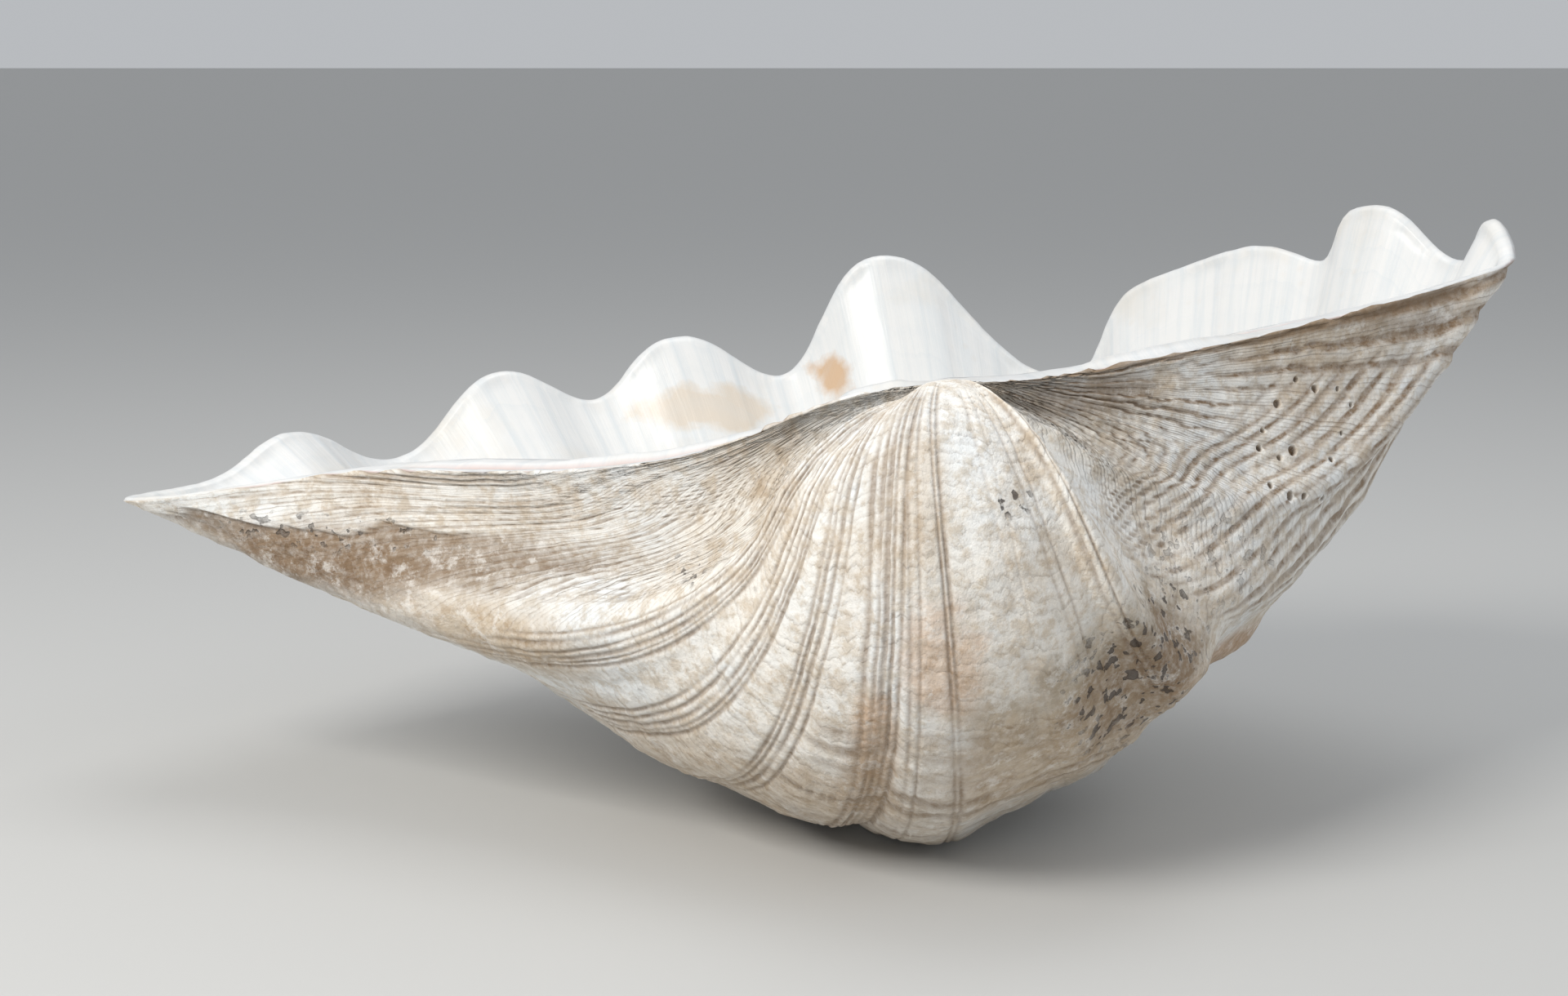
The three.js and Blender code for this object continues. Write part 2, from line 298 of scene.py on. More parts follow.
def hollowPoints(e, sizes):  # the inside, the same way, ending at its own corner under the hinge
    s = shellShape
    r = np.maximum(sizes, noSize)[None, :]
    fade = r**s["foldFade"]
    inset = e["lip"] + fade * s["toothLean"] * e["height"]
    x = e["x"] + e["inX"] * inset
    y = e["y"] + e["inY"] * inset
    z = fade * (e["z"] + e["height"]) - s["lipDrop"] + s["hingeRise"] * (e["lip"] - s["lipWidth"])
    limit = np.minimum(s["hollowCurlShare"] * e["limit"], math.radians(s["hollowCurlLimit"]))
    limit = limit + (math.radians(s["hollowBeakLimit"]) - limit) * e["nearBeak"]
    rate = s["hollowCurlRate"] * (e["rate"] + (s["beakCurlRate"] - e["rate"]) * e["nearBeak"])
    turn = limit * np.tanh(rate * np.log(1 / r) / limit)
    breadth = drawnIn(r, e["narrow"] + (s["beakNarrowing"] - e["narrow"]) * e["nearBeak"])
    p = turnedUnder(x, y, z, turn, r, breadth) + ((1 - r)**2)[..., None] * np.array(s["hollowPole"])
    p[:, r[0] < 2 * noSize] = s["hollowPole"]
    return p


def lay(p):  # rolled onto its belly and pushed into shape, with the origin under its middle
    a = math.radians(shellShape["rollDeg"])
    x, y, z = p[..., 0], p[..., 1], p[..., 2]
    p = np.stack([x * math.cos(a) - z * math.sin(a), y, x * math.sin(a) + z * math.cos(a)], -1)
    for middle, reach, move in shellShape["pushes"]:
        near = np.exp(-(((p - np.array(middle)) / np.array(reach))**2).sum(-1))
        p = p + near[..., None] * np.array(move)
    return p + np.array(shellShape["beakAt"])


def gridFaces(ids):  # two triangles to each cell of a sheet of vertex numbers
    a, b, c, d = ids[:-1, :-1], ids[1:, :-1], ids[1:, 1:], ids[:-1, 1:]
    halves = [np.stack([a, b, c], -1), np.stack([a, c, d], -1)]
    return np.concatenate([half.reshape(-1, 3) for half in halves])


def vertexNormals(points, faces):
    corners = points[faces]
    flat = np.cross(corners[:, 1] - corners[:, 0], corners[:, 2] - corners[:, 0])
    out = np.zeros_like(points)
    for k in range(3):
        for axis in range(3):
            out[:, axis] += np.bincount(faces[:, k], flat[:, axis], len(points))
    return out / np.maximum(np.linalg.norm(out, axis=1, keepdims=True), 1e-12)


def growShell():  # back, lip and hollow as one closed skin, each vertex with its place on the valve
    s = shellShape
    e = makeEdge()
    n = s["columns"]
    backSizes = 1 - np.linspace(0, 1, s["backRows"] + 1)**s["backCrowding"]
    hollowSizes = 1 - np.linspace(0, 1, s["hollowRows"] + 1)**s["hollowCrowding"]
    back = backPoints(e, backSizes)
    every = {name: value[::2] for name, value in e.items()}
    hollow = hollowPoints(every, hollowSizes)
    hollowEdge = hollowPoints(e, np.array([1.0]))[:, 0]
    backEdge = back[:, 0]
    along = np.gradient(backEdge, axis=0)
    out = np.cross(along, hollowEdge - backEdge)
    out /= np.maximum(np.linalg.norm(out, axis=1, keepdims=True), 1e-9)
    across = np.linspace(0, 1, s["lipRows"] + 2)[None, 1:-1, None]
    crown = s["lipRound"] * (1 - (1 - s["plateRound"]) * e["atHinge"])[..., None]
    crown = crown * np.sqrt(4 * across * (1 - across))
    lip = backEdge[:, None] * (1 - across) + hollowEdge[:, None] * across + out[:, None] * crown
    sheets = [back, lip, hollow]
    starts = np.cumsum([0] + [sheet.shape[0] * sheet.shape[1] for sheet in sheets])
    ids = [np.arange(sheet.shape[0] * sheet.shape[1]).reshape(sheet.shape[:2]) + start
           for sheet, start in zip(sheets, starts)]
    backIds, lipIds, hollowIds = ids
    faces = [gridFaces(backIds)[:, ::-1], gridFaces(np.column_stack([backIds[:, 0], lipIds])),
             gridFaces(hollowIds)]
    last = lipIds[:, -1]
    first = hollowIds[:, 0]
    faces.append(np.concatenate([
        np.stack([last[:-2:2], last[1:-1:2], first[:-1]], -1),
        np.stack([last[1:-1:2], last[2::2], first[1:]], -1),
        np.stack([last[1:-1:2], first[1:], first[:-1]], -1)]))
    kinds = np.concatenate([np.full(len(f), k) for k, f in enumerate(faces)])
    faces = np.concatenate(faces)
    points = np.concatenate([sheet.reshape(-1, 3) for sheet in sheets])
    run = np.concatenate([np.repeat(e["run"][:, 0], len(backSizes)), np.repeat(e["run"][:, 0], s["lipRows"]),
                          np.repeat(every["run"][:, 0], len(hollowSizes))])
    size = np.concatenate([np.tile(backSizes, n + 1), np.ones((n + 1) * s["lipRows"]),
                           np.tile(hollowSizes, len(every["run"]))])
    reach = np.interp(run, e["run"][:, 0], np.hypot(e["x"], e["y"])[:, 0])
    acrossLip = np.concatenate([np.zeros(starts[1]), np.tile(across[0, :, 0], n + 1),
                                np.ones(starts[3] - starts[2])])
    side = np.repeat([0.0, 1.0, 2.0], np.diff(starts))  # back, lip, hollow
    # join what meets: the pole of each sheet, and the beak
    key = np.round(points / s["weld"]).astype(np.int64)
    unused, firstAt, joined = np.unique(key, axis=0, return_index=True, return_inverse=True)
    joined = joined.reshape(-1)
    faces = joined[faces]
    whole = (faces[:, 0] != faces[:, 1]) & (faces[:, 1] != faces[:, 2]) & (faces[:, 0] != faces[:, 2])
    unused, same, count = np.unique(np.sort(faces, axis=1), axis=0, return_inverse=True,
                                    return_counts=True)
    whole = whole & (count[same.reshape(-1)] == 1)  # two faces back to back close nothing
    return {"points": lay(points[firstAt]), "faces": faces[whole], "kinds": kinds[whole],
            "run": run[firstAt], "size": size[firstAt], "side": side[firstAt], "reach": reach[firstAt],
            "across": acrossLip[firstAt]}


def ribletDepth(shell):  # 0 to about 1 in the fine grooves that fan out from the beak
    run, size = shell["run"], shell["size"]
    spread = np.clip((0.45 / np.maximum(size, 0.05))**0.7, 0.75, 2.6)
    drift = 2.5 * noise(linePlace(size, run / 160), 0.22, 11) * spread
    depth = np.zeros(len(run))
    for middle, count, gap, deep in shellWear["ribletGroups"]:
        for k in range(count):
            at = middle + ((k - (count - 1) / 2) * gap + 0.22 * gap * math.sin(5 * k + middle)) * spread
            wide = shellWear["ribletWidth"] * (1 + 0.3 * math.sin(3 * k + middle)) * spread
            fade = 0.62 + 0.45 * noise(linePlace(size, k + middle), 0.06, 12)
            if middle > shellWear["ribletsWorn"]:
                fade = fade - 0.9 * smoothStep(0.55, 0.8, size)
            groove = np.exp(-np.abs((run + drift - at) / wide)**1.6)
            depth = np.maximum(depth, deep * np.clip(fade, 0, 1) * groove)
    return depth * smoothStep(0.03, 0.1, size)


def growthBend(run):  # growth lines dip where the left wing is drawn out
    w = shellWear
    return w["bendDeep"] * np.exp(-((run - w["bendRun"]) / w["bendWide"])**2)


def layeredLines(phase, strength):  # overlapping layers: their height, and the foot of each step, where shade is painted dark
    part = phase % 1
    rise = part * (1 - smoothStep(0.74, 1.0, part)) * strength
    foot = np.exp(-((1 - part) / 0.24)**2) + np.exp(-(part / 0.12)**2)
    return rise, foot * strength


def growthSteps(shell):  # the steps where growth paused, which run along the edge
    run, size, reach = shell["run"], shell["size"], np.maximum(shell["reach"], 12)
    w = shellWear
    rightWing = 1 - smoothStep(*w["rightWing"], run)
    leftWing = smoothStep(*w["leftWing"], run)
    wave = noise(linePlace(run, size * 14), 7.5, 21) + 0.5 * noise(linePlace(run, size * 30), 3.4, 22)
    g = size + growthBend(run) + (0.8 * rightWing + 0.4) / reach * wave
    phase = g / np.where(run < 400, w["rightGrowthGap"], w["growthGap"])
    strength = 0.68 + 0.6 * noise(linePlace(np.floor(phase), run / 45, 3.0), 1.0, 23)
    rimmed = np.maximum(1 - smoothStep(105, 165, run), smoothStep(0.84, 0.93, size))
    belly = within(*w["belly"], run) * smoothStep(0.26, 0.38, size)
    where = 0.16 + 0.55 * belly + 0.84 * rightWing * rimmed
    where = where + 0.7 * leftWing * smoothStep(0.25, 0.6, size)
    where = where * smoothStep(0.1, 0.25, size)
    rise, foot = layeredLines(phase, np.clip(strength, 0.05, 1.1) * where)
    return rise, foot * (0.3 + 0.65 * belly + 0.7 * np.maximum(rightWing, leftWing))


def sweepLines(shell):  # ridges that run up the right wing to its rim
    run, size = shell["run"], shell["size"]
    q = run - eased(shellWear["sweepLean"], size) * (1 - smoothStep(275, 345, run))
    q = q + 4 * noise(linePlace(q / 40, size * 5), 1.0, 31) + noise(linePlace(run / 9, size * 18), 1.0, 32)
    where = within(*shellWear["swept"], run) * within((0.2, 0.3), (0.86, 0.95), size)
    phase = q / shellWear["sweepGap"]
    strength = np.clip(0.65 + 0.5 * noise(linePlace(np.floor(phase), size * 3, 7.0), 1.0, 33), 0, 1.1)
    return layeredLines(-phase, strength * where)


def brokenLayer(shell):  # 1 where the outer layer of the left wing has flaked away
    run, size = shell["run"], shell["size"]
    edge = eased(shellWear["breakLine"], run) + 0.02 * noise(linePlace(run, size * 20), 9, 41)
    edge = edge + 0.008 * noise(linePlace(run, size * 60), 3, 42)
    return within((-0.012, 0.0), (0.1, 0.26), edge - size) * within(*shellWear["flaked"], run)


def hollowRelief(shell):  # the living side: flutes behind the rim, mantle line, scar of the muscle
    run, size = shell["run"], shell["size"]
    h = hollowMarks
    fluted = smoothStep(0.55, 1.0, size) * within(*h["fluted"], run)
    flute = 0.5 * noise(linePlace(run, size * 3), 9, 51) + 0.3 * noise(linePlace(run, size * 8), 3.5, 52)
    mantle = h["mantleSize"] + 0.02 * noise(linePlace(run), 60, 53)
    mantleLine = np.exp(-((size - mantle) / h["mantleWide"])**2) * within(*h["mantle"], run)
    scar = np.hypot((run - h["scarRun"]) / h["scarLong"], (size - h["scarSize"]) / h["scarWide"])
    scar = 1 - smoothStep(0.8, 1.0, scar + 0.1 * noise(linePlace(run, size * 60), 14, 54))
    return fluted * flute - h["mantleDepth"] * mantleLine - h["scarDepth"] * scar, scar


def hingeRelief(shell):  # on the lip beside the beak: the groove of the ligament and the hinge teeth
    run, across = shell["run"], shell["across"]
    h = hollowMarks
    rise = np.zeros(len(run))
    slit = np.zeros(len(run))
    for start, end, place, width, height in h["hingeMarks"]:
        taper = h["hingeTaper"] * (end - start)
        inside = within((start, start + taper), (end - taper, end), run)
        mark = inside * np.exp(-((across - place) / width)**2)
        rise += height * mark
        slit = np.maximum(slit, mark if height < 0 else 0)
    return rise, slit


def weatherShell(shell):  # moves the skin in and out, and keeps where the grooves and crests are
    points, size, side = shell["points"], shell["size"], shell["side"]
    w = shellWear
    normals = vertexNormals(points, shell["faces"])
    outside = (side == 0) * smoothStep(0.02, 0.1, size)
    riblet = ribletDepth(shell) * outside
    growth, growthFoot = [v * outside for v in growthSteps(shell)]
    sweep, sweepFoot = [v * outside for v in sweepLines(shell)]
    broken = brokenLayer(shell) * outside
    # groove marks where the back's finish paints shade: in the riblets and at the foot of each step
    shell["groove"] = np.maximum(riblet, np.maximum(growthFoot, sweepFoot))
    # next, where the back's finish paints a highlight on the crests of the steps
    shell["crestHighlight"] = np.clip(growth + sweep, 0, 1)
    shell["broken"] = broken
    push = w["growthRise"] * (growth - w["footSink"] * growthFoot)
    push = push + w["sweepRise"] * (sweep - w["footSink"] * sweepFoot)
    push = push - w["ribletDepth"] * riblet - w["breakDepth"] * broken
    hollowRise, scar = hollowRelief(shell)
    hingeRise, slit = hingeRelief(shell)
    inBelly = within((0.22, 0.4), (0.75, 0.95), size) * outside
    for middle, wide, rise in w["bellyFolds"]:
        push = push + rise * np.exp(-((shell["run"] - middle) / wide)**2) * inBelly
    push = push + (side == 2) * hollowRise + (side == 1) * hingeRise
    shell["groove"] = np.maximum(shell["groove"], (side == 1) * slit)
    shell["broken"] = np.maximum(broken, (side == 2) * scar)
    lumps = np.zeros(len(size))
    for gap, rise, seed in w["bumps"]:
        lumps += rise * noise(points, gap, seed)
    lumpy = np.where(side == 0, 1.0, np.where(side == 1, w["lipBumps"], w["hollowBumps"]))
    push = push + lumps * lumpy * smoothStep(0.02, 0.1, size)
    points = points + normals * push[:, None]
    # what would reach the table is rounded off above it, and the worn patch lies flat
    low, z = w["softFloor"], points[:, 2]
    z = np.where(z < low, low * np.exp((z - low) / (2 * low)), z)
    points[:, 2] = np.where(z < 0.4 * low, 0, z)
    shell["points"] = points
    return shell


def meshFromShell(shell, materials):  # lengths go from millimetres to metres here
    mesh = bpy.data.meshes.new("shellValve")
    faces = shell["faces"]
    mesh.vertices.add(len(shell["points"]))
    mesh.vertices.foreach_set("co", (shell["points"] / 1000).astype(np.float32).ravel())
    mesh.loops.add(faces.size)
    mesh.loops.foreach_set("vertex_index", faces.astype(np.int32).ravel())
    mesh.polygons.add(len(faces))
    mesh.polygons.foreach_set("loop_start", np.arange(0, faces.size, 3, dtype=np.int32))
    mesh.update(calc_edges=True)
    mesh.validate()
    for material in materials:
        mesh.materials.append(material)
    mesh.polygons.foreach_set("material_index", np.where(shell["kinds"] == 0, 0, 1).astype(np.int32))
    mesh.polygons.foreach_set("use_smooth", np.ones(len(faces), bool))
    for name in ("groove", "crestHighlight", "broken"):
        layer = mesh.attributes.new(name, "FLOAT", "POINT")
        layer.data.foreach_set("value", shell[name].astype(np.float32))
    layer = mesh.uv_layers.new(name="growthMap")
    place = np.stack([shell["run"] / 1000, shell["size"]], -1)[faces.ravel()]
    layer.data.foreach_set("uv", place.astype(np.float32).ravel())
    piece = bpy.data.objects.new("shellValve", mesh)
    bpy.context.scene.collection.objects.link(piece)
    return piece


def drillHoles(piece, spots, material):  # small round holes that go down from the surface
    cutter = bpy.data.meshes.new("boreHoles")
    build = bmesh.new()
    deep = shellWear["boreDepth"] / 1000
    for place, normal, radius in spots:
        turn = normal.to_track_quat("Z", "Y").to_matrix().to_4x4()
        bmesh.ops.create_cone(build, cap_ends=True, segments=14, depth=2 * deep,
                              radius1=0.55 * radius, radius2=1.15 * radius,
                              matrix=Matrix.Translation(place) @ turn)
    build.to_mesh(cutter)
    build.free()
    cutter.materials.append(material)
    # the walls of the holes carry the groove mark, so the back's finish paints shade inside them
    dark = cutter.attributes.new("groove", "FLOAT", "POINT")
    dark.data.foreach_set("value", np.ones(len(cutter.vertices), np.float32))
    tool = bpy.data.objects.new("boreHoles", cutter)
    bpy.context.scene.collection.objects.link(tool)
    cut = piece.modifiers.new("boreHoles", "BOOLEAN")
    cut.object = tool
    cut.operation = "DIFFERENCE"
    cut.solver = "MANIFOLD"
    bpy.context.view_layer.objects.active = piece
    bpy.ops.object.modifier_apply(modifier=cut.name)
    bpy.data.objects.remove(tool)


def boreSpots(shell):  # where each hole starts on the finished surface, and which way is out
    onBack = np.flatnonzero(shell["side"] == 0)
    normals = vertexNormals(shell["points"], shell["faces"])
    spots = []
    for run, size, radius in shellWear["boreHoles"]:
        apart = np.hypot((shell["run"][onBack] - run) / 1000, shell["size"][onBack] - size)
        i = onBack[np.argmin(apart)]
        spots.append((Vector(shell["points"][i] / 1000), Vector(normals[i]), radius / 1000))
    return spots


class Nodes:  # short ways to write a node tree
    def __init__(self, tree):
        self.tree = tree

    def add(self, kind, values=None, **settings):
        node = self.tree.nodes.new(kind)
        for name, value in settings.items():
            setattr(node, name, value)
        for name, value in (values or {}).items():
            if isinstance(value, bpy.types.NodeSocket):
                self.tree.links.new(value, node.inputs[name])
            else:
                node.inputs[name].default_value = value
        return node

    def math(self, operation, a, b=0.0, c=0.0):
        return self.add("ShaderNodeMath", {0: a, 1: b, 2: c}, operation=operation).outputs[0]

    def vectorMath(self, operation, a, b=(0.0, 0.0, 0.0)):
        return self.add("ShaderNodeVectorMath", {0: a, 1: b}, operation=operation)

    def scaled(self, value, low, high, toLow=0.0, toHigh=1.0):
        return self.add("ShaderNodeMapRange", {"Value": value, "From Min": low, "From Max": high,
                                               "To Min": toLow, "To Max": toHigh}).outputs["Result"]

    def mix(self, factor, a, b, blend="MIX"):
        node = self.add("ShaderNodeMix", data_type="RGBA", blend_type=blend)
        for name, value in (("Factor_Float", factor), ("A_Color", a), ("B_Color", b)):
            socket = next(i for i in node.inputs if i.identifier == name)
            if isinstance(value, bpy.types.NodeSocket):
                self.tree.links.new(value, socket)
            else:
                socket.default_value = value
        return next(o for o in node.outputs if o.identifier == "Result_Color")

    def noise(self, vector, scale, detail=3.0, roughness=0.55):
        return self.add("ShaderNodeTexNoise", {"Vector": vector, "Scale": scale, "Detail": detail,
                                               "Roughness": roughness}).outputs["Fac"]

    def place(self, x, y, z=0.0):
        return self.add("ShaderNodeCombineXYZ", {0: x, 1: y, 2: z}).outputs[0]

    def apart(self, vector):
        return self.add("ShaderNodeSeparateXYZ", {0: vector}).outputs


def makeGroup(name, inputs, outputs):
    tree = bpy.data.node_groups.new(name, "ShaderNodeTree")
    for kind, sockets in (("INPUT", inputs), ("OUTPUT", outputs)):
        for socketName, socketType, value in sockets:
            socket = tree.interface.new_socket(name=socketName, in_out=kind, socket_type=socketType)
            if value is not None:
                socket.default_value = value
    return tree, Nodes(tree), tree.nodes.new("NodeGroupInput"), tree.nodes.new("NodeGroupOutput")


floatSocket, vectorSocket = "NodeSocketFloat", "NodeSocketVector"


def makeGrain():  # chalky speckle: a mask of small pores and a height
    tree, n, source, out = makeGroup(
        "chalkGrain",
        [("Place", vectorSocket, None), ("Scale", floatSocket, 400.0), ("Pores", floatSocket, 0.4)],
        [("Speckle", floatSocket, None), ("Pores", floatSocket, None), ("Height", floatSocket, None)])
    place, scale = source.outputs["Place"], source.outputs["Scale"]
    fine = n.noise(place, scale, 4.0, 0.65)
    cells = n.add("ShaderNodeTexVoronoi", {"Vector": place, "Scale": n.math("MULTIPLY", scale, 0.55)})
    pits = n.scaled(cells.outputs["Distance"], 0.05, 0.3, 1.0, 0.0)
    some = n.scaled(n.noise(place, n.math("MULTIPLY", scale, 0.12), 2.0), 0.5, 0.62)
    pores = n.math("MULTIPLY", n.math("MULTIPLY", pits, some), source.outputs["Pores"])
    tree.links.new(fine, out.inputs["Speckle"])
    tree.links.new(pores, out.inputs["Pores"])
    tree.links.new(n.math("SUBTRACT", fine, n.math("MULTIPLY", pores, 1.2)), out.inputs["Height"])
    return tree


def makeGrowthLines():  # fine wavy lines that follow the growing edge
    tree, n, source, out = makeGroup(
        "growthLines",
        [("Map", vectorSocket, None), ("Gap", floatSocket, 0.01), ("Wobble", floatSocket, 0.01),
         ("Sharpness", floatSocket, 3.0)],
        [("Line", floatSocket, None), ("Height", floatSocket, None)])
    run, size, unused = n.apart(source.outputs["Map"])
    # the same dip as in growthBend; the map holds runs in metres
    bend = n.math("SUBTRACT", run, shellWear["bendRun"] / 1000)
    bend = n.math("DIVIDE", bend, shellWear["bendWide"] / 1000)
    bend = n.math("EXPONENT", n.math("MULTIPLY", n.math("MULTIPLY", bend, bend), -1.0))
    bend = n.math("MULTIPLY", bend, shellWear["bendDeep"])
    wave = n.noise(n.place(n.math("MULTIPLY", run, 60.0), n.math("MULTIPLY", size, 8.0)), 1.0, 3.0)
    wobble = n.math("MULTIPLY", n.math("SUBTRACT", wave, 0.5), source.outputs["Wobble"])
    g = n.math("ADD", n.math("ADD", size, bend), wobble)
    phase = n.math("FRACT", n.math("DIVIDE", g, source.outputs["Gap"]))
    line = n.math("POWER", phase, source.outputs["Sharpness"])
    broken = n.noise(n.place(n.math("MULTIPLY", run, 14.0), n.math("MULTIPLY", g, 90.0)), 1.0, 2.0)
    line = n.math("MULTIPLY", line, n.scaled(broken, 0.35, 0.65))
    tree.links.new(line, out.inputs["Line"])
    tree.links.new(n.math("MULTIPLY", line, -1.0), out.inputs["Height"])
    return tree


def makeSpot():  # a soft-edged blotch about a point, broken up by noise
    tree, n, source, out = makeGroup(
        "stainSpot",
        [("Place", vectorSocket, None), ("Middle", vectorSocket, None), ("Stretch", vectorSocket, None),
         ("Ragged", floatSocket, 0.5), ("Noise", floatSocket, 0.5)],
        [("Mask", floatSocket, None)])
    away = n.vectorMath("SUBTRACT", source.outputs["Place"], source.outputs["Middle"]).outputs[0]
    away = n.vectorMath("DIVIDE", away, source.outputs["Stretch"]).outputs[0]
    far = n.vectorMath("LENGTH", away).outputs["Value"]
    uneven = n.math("SUBTRACT", source.outputs["Noise"], 0.5)
    far = n.math("ADD", far, n.math("MULTIPLY", uneven, source.outputs["Ragged"]))
    tree.links.new(n.scaled(far, 0.55, 1.1, 1.0, 0.0), out.inputs["Mask"])
    return tree


backFinish = {
    "chalk": (0.90, 0.86, 0.79, 1),
    "cold": (0.87, 0.89, 0.89, 1),
    "tan": (0.63, 0.52, 0.39, 1),
    "brown": (0.25, 0.165, 0.095, 1),
    "dark": (0.07, 0.052, 0.04, 1),
    "orange": (0.66, 0.40, 0.21, 1),
    "rust": (0.46, 0.27, 0.13, 1),
    "earth": (0.32, 0.255, 0.165, 1),
    "flake": (0.96, 0.94, 0.90, 1),
    "speckle": (1, 0.98, 0.95, 1),
    "roughness": 0.82,
    "roughnessSpread": 0.1,
    "lineGap": 0.0085,
    # lumps to the metre in each kind of patchiness
    "grainScale": 420.0,
    "pitScale": 300.0,
    "mottleScale": 190.0,
    "flakeScale": 150.0,
    "raggedScale": 95.0,
    "cloudScale": 33.0,
    "wideScale": 21.0,
    "bumpStrength": 0.85,
    "bumpDepth": 0.0013,
    # middle, half sizes and strength of the patches that are peppered with dark pits
    "peppered": [((0.090, -0.122, 0.064), (0.026, 0.04, 0.030), 1.0),
                 ((0.100, -0.115, 0.078), (0.016, 0.03, 0.012), 1.0),
                 ((-0.150, -0.030, 0.089), (0.050, 0.03, 0.006), 0.8),
                 ((0.052, -0.154, 0.118), (0.006, 0.02, 0.004), 1.0),
                 ((-0.035, -0.097, 0.090), (0.007, 0.02, 0.004), 0.8),
                 ((0.112, -0.094, 0.092), (0.045, 0.03, 0.016), 0.4)],
    "pepperRagged": 1.6,
    # middle and half sizes in metres, colour, strength, raggedness
    "spots": [((0.034, -0.155, 0.073), (0.013, 0.03, 0.020), "orange", 0.5, 2.8),
              ((0.016, -0.135, 0.050), (0.007, 0.03, 0.026), "orange", 0.62, 2.0),
              ((0.013, -0.122, 0.030), (0.010, 0.03, 0.018), "rust", 0.6, 2.4),
              ((0.052, -0.125, 0.040), (0.020, 0.03, 0.016), "rust", 0.4, 2.6),
              ((0.128, -0.055, 0.056), (0.036, 0.06, 0.010), "rust", 0.75, 2.0),
              ((-0.012, -0.098, 0.113), (0.008, 0.02, 0.008), "tan", 0.6, 0.9),
              ((0.028, -0.155, 0.118), (0.008, 0.02, 0.026), "tan", 0.55, 0.9),
              ((0.104, -0.106, 0.058), (0.016, 0.04, 0.009), "rust", 0.7, 2.2),
              ((0.086, -0.118, 0.068), (0.034, 0.05, 0.024), "earth", 0.75, 2.6),
              ((0.066, -0.132, 0.052), (0.026, 0.04, 0.026), "earth", 0.6, 2.8),
              ((-0.150, -0.030, 0.080), (0.062, 0.03, 0.0125), "brown", 0.85, 1.3),
              ((-0.096, -0.062, 0.062), (0.050, 0.03, 0.0135), "tan", 0.9, 1.3),
              ((0.150, -0.055, 0.152), (0.085, 0.03, 0.013), "tan", 0.8, 1.2),
              ((0.185, -0.035, 0.158), (0.032, 0.03, 0.009), "brown", 0.6, 2.4),
              ((0.078, -0.100, 0.140), (0.028, 0.03, 0.007), "brown", 0.6, 2.0),
              ((0.120, -0.085, 0.116), (0.030, 0.02, 0.022), "cold", 0.5, 1.4),
              ((0.080, -0.110, 0.044), (0.055, 0.05, 0.036), "tan", 0.85, 2.2),
              ((0.090, -0.122, 0.060), (0.024, 0.03, 0.026), "brown", 0.6, 2.6),
              ((0.100, -0.116, 0.070), (0.015, 0.03, 0.014), "brown", 0.6, 2.4),
              ((-0.030, -0.080, 0.020), (0.080, 0.07, 0.028), "tan", 0.6, 1.6),
              ((0.030, -0.130, 0.034), (0.050, 0.05, 0.020), "tan", 0.5, 2.2)],
}


def useGroup(n, tree, values):
    return n.add("ShaderNodeGroup", values, node_tree=tree).outputs


def stained(n, groups, place, colour, finish, ragged):  # lays each spot of a finish over the colour
    for middle, stretch, tint, strength, rough in finish["spots"]:
        mask = useGroup(n, groups["spot"], {"Place": place, "Middle": middle, "Stretch": stretch,
                                            "Ragged": rough, "Noise": ragged})["Mask"]
        colour = n.mix(n.math("MULTIPLY", mask, strength), colour, finish[tint])
    return colour


